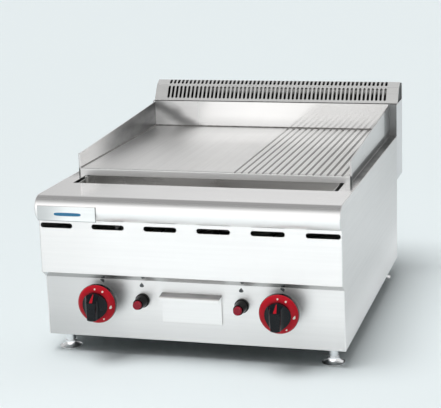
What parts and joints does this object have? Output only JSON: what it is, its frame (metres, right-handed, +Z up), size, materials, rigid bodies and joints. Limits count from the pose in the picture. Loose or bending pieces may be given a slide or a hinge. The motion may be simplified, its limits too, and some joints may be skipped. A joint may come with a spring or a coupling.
{
  "type": "countertop gas griddle",
  "caption": "Countertop gas griddle: smooth and ribbed steel plate with splash guards, slotted rear flue, grease drawer, turning knobs, push igniters and levelling feet.",
  "frame": {"origin": "on the counter, under the middle of the overall box", "axes": "+Z up, +X to the right seen from the front, -Y towards the cook"},
  "size_m": [0.6, 0.812, 0.443],
  "materials": {
    "casing_steel": "brushed stainless sheet",
    "deck_steel": "brushed stainless sheet, pressed",
    "inner_steel": "galvanised and aluminised inner sheet",
    "plate_steel": "ground and seasoned cooking plate",
    "guard_steel": "polished stainless sheet",
    "drawer_steel": "brushed stainless sheet",
    "tray_steel": "plain stainless sheet",
    "flue_steel": "brushed stainless sheet",
    "cap_black": "black enamel",
    "knob_black": "glossy phenolic",
    "dial_red": "glossy red",
    "bezel_black": "glossy black",
    "button_red": "glossy red",
    "foot_chrome": "chromed steel",
    "badge_alloy": "blank satin plate",
    "screw_steel": "zinc plated",
    "burner_steel": "heat-resisting tube",
    "valve_brass": "machined brass",
    "pipe_steel": "grey gas pipe",
    "tube_alloy": "bent tube",
    "lead_rubber": "silicone-insulated lead",
    "piezo_plastic": "moulded",
    "electrode_ceramic": "white ceramic, stood in for by gloss plastic"
  },
  "bodies": {
    "casing": {"backsplash": "guard_steel", "base_pan": "inner_steel", "burner_left": "burner_steel", "burner_rests": "inner_steel", "burner_right": "burner_steel", "casing_screws": "screw_steel", "chamber_liners": "inner_steel", "control_panel": "casing_steel", "drawer_rails": "inner_steel", "flue_deflector": "inner_steel", "flue_duct": "flue_steel", "flue_end_caps": "cap_black", "flue_front_panel": "flue_steel", "flue_hood": "flue_steel", "foot_nuts": "screw_steel", "front_fascia": "casing_steel", "gas_cock_left": "valve_brass", "gas_cock_right": "valve_brass", "gas_inlet_nipple": "pipe_steel", "gas_manifold": "pipe_steel", "grease_chute": "tray_steel", "grease_trough": "tray_steel", "griddle_plate": "plate_steel", "heat_shield": "inner_steel", "igniter_bezels": "bezel_black", "ignition_leads": "lead_rubber", "injectors": "valve_brass", "nameplate": "badge_alloy", "piezo_bodies": "piezo_plastic", "pilot_burners": "burner_steel", "rear_panel": "casing_steel", "side_panel_left": "casing_steel", "side_panel_right": "casing_steel", "spark_electrodes": "electrode_ceramic", "splash_guard_left": "guard_steel", "splash_guard_right": "guard_steel", "supply_tubes": "tube_alloy", "thermocouples": "valve_brass", "top_deck": "deck_steel", "trough_pin": "tray_steel"},
    "grease_drawer": {"drawer_tray": "tray_steel", "drawer_front": "drawer_steel"},
    "cock_plug_left_body": {"cock_plug_left": "valve_brass", "cock_spring_left": "screw_steel"},
    "knob_left_body": {"knob_left": "knob_black", "dial_ring_left": "dial_red", "pointer_left": "dial_red", "knob_stem_left": "screw_steel"},
    "igniter_left_body": {"igniter_button_left": "button_red"},
    "cock_plug_right_body": {"cock_plug_right": "valve_brass", "cock_spring_right": "screw_steel"},
    "knob_right_body": {"knob_right": "knob_black", "dial_ring_right": "dial_red", "pointer_right": "dial_red", "knob_stem_right": "screw_steel"},
    "igniter_right_body": {"igniter_button_right": "button_red"},
    "foot_front_left_body": {"levelling_foot_front_left": "foot_chrome"},
    "foot_front_right_body": {"levelling_foot_front_right": "foot_chrome"},
    "foot_back_left_body": {"levelling_foot_back_left": "foot_chrome"},
    "foot_back_right_body": {"levelling_foot_back_right": "foot_chrome"}
  },
  "joints": [
    {"name": "grease_drawer_slide", "type": "slide", "parent": "casing", "child": "grease_drawer", "axis": [0, -1, 0], "range_m": [0, 0.3]},
    {"name": "gas_cock_turn_left", "type": "hinge", "parent": "casing", "child": "cock_plug_left_body", "pos_m": [-0.181, -0.311, 0.1164], "axis": [0, -1, 0], "range_deg": [0, 150]},
    {"name": "knob_push_left", "type": "slide", "parent": "cock_plug_left_body", "child": "knob_left_body", "axis": [0, 1, 0], "range_m": [0, 0.004], "stiffness_N_per_m": 1500, "springref_m": -0.004, "deforming": ["cock_spring_left"]},
    {"name": "igniter_push_left", "type": "slide", "parent": "casing", "child": "igniter_left_body", "axis": [0, 1, 0], "range_m": [0, 0.005], "stiffness_N_per_m": 1200, "springref_m": -0.004},
    {"name": "gas_cock_turn_right", "type": "hinge", "parent": "casing", "child": "cock_plug_right_body", "pos_m": [0.181, -0.311, 0.1164], "axis": [0, -1, 0], "range_deg": [0, 150]},
    {"name": "knob_push_right", "type": "slide", "parent": "cock_plug_right_body", "child": "knob_right_body", "axis": [0, 1, 0], "range_m": [0, 0.004], "stiffness_N_per_m": 1500, "springref_m": -0.004, "deforming": ["cock_spring_right"]},
    {"name": "igniter_push_right", "type": "slide", "parent": "casing", "child": "igniter_right_body", "axis": [0, 1, 0], "range_m": [0, 0.005], "stiffness_N_per_m": 1200, "springref_m": -0.004},
    {"name": "foot_front_left_height", "type": "slide", "parent": "casing", "child": "foot_front_left_body", "axis": [0, 0, -1], "range_m": [0, 0.02]},
    {"name": "foot_front_right_height", "type": "slide", "parent": "casing", "child": "foot_front_right_body", "axis": [0, 0, -1], "range_m": [0, 0.02]},
    {"name": "foot_back_left_height", "type": "slide", "parent": "casing", "child": "foot_back_left_body", "axis": [0, 0, -1], "range_m": [0, 0.02]},
    {"name": "foot_back_right_height", "type": "slide", "parent": "casing", "child": "foot_back_right_body", "axis": [0, 0, -1], "range_m": [0, 0.02]}
  ]
}
